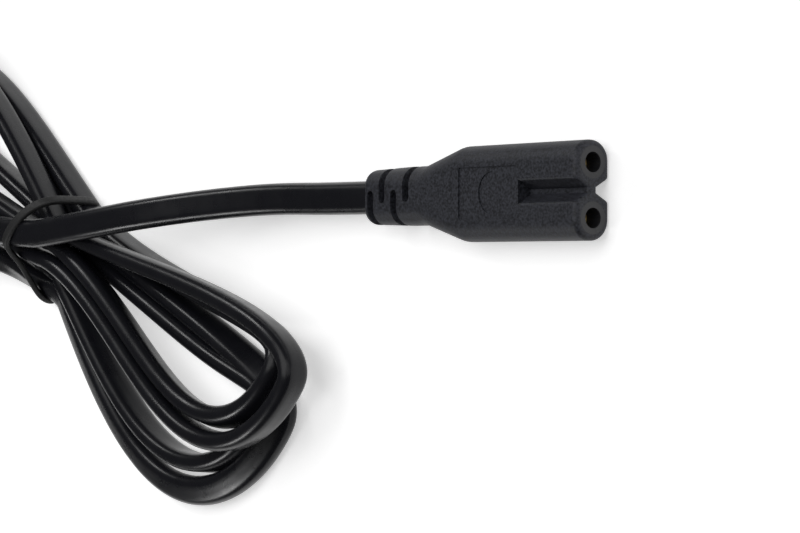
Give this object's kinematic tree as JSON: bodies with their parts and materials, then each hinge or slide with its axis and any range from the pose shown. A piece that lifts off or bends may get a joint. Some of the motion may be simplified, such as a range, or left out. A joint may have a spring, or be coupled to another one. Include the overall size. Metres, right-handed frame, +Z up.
{
  "type": "figure-eight power cord",
  "caption": "Flat black mains cord with a moulded figure-eight appliance connector and segmented strain relief, tied in a hank, ending in a flat pin plug.",
  "frame": {"origin": "on the surface that the cord lies on, under the middle of the connector", "axes": "+X out of the connector's mating face, +Y across its contacts, +Z up"},
  "size_m": [0.2865, 0.1051, 0.0164],
  "materials": {
    "moulding": "soft moulded PVC with a fine spark-eroded texture",
    "insert": "smooth hard plastic",
    "cord_sheath": "extruded PVC with a soft sheen",
    "tie": "soft coated wire",
    "contact_brass": "rolled strip, bright",
    "pin_metal": "nickel plate, polished",
    "core_brown": "extruded PVC",
    "core_blue": "extruded PVC",
    "copper": "bare fine strands"
  },
  "bodies": {
    "root": {"connector_housing": "moulding", "connector_bridge": "insert", "contact_left": "contact_brass", "contact_right": "contact_brass", "connector_core_left": "core_brown", "connector_core_right": "core_blue", "connector_strands_left": "copper", "connector_strands_right": "copper", "cord_lead": "cord_sheath", "cord_hank": "cord_sheath", "cord_tail": "cord_sheath", "cord_tie": "tie", "plug_housing": "moulding", "plug_bridge": "insert", "plug_pin_left": "pin_metal", "plug_pin_right": "pin_metal", "pin_sleeve_left": "insert", "pin_sleeve_right": "insert", "plug_core_left": "core_brown", "plug_core_right": "core_blue", "plug_strands_left": "copper", "plug_strands_right": "copper"}
  },
  "joints": []
}
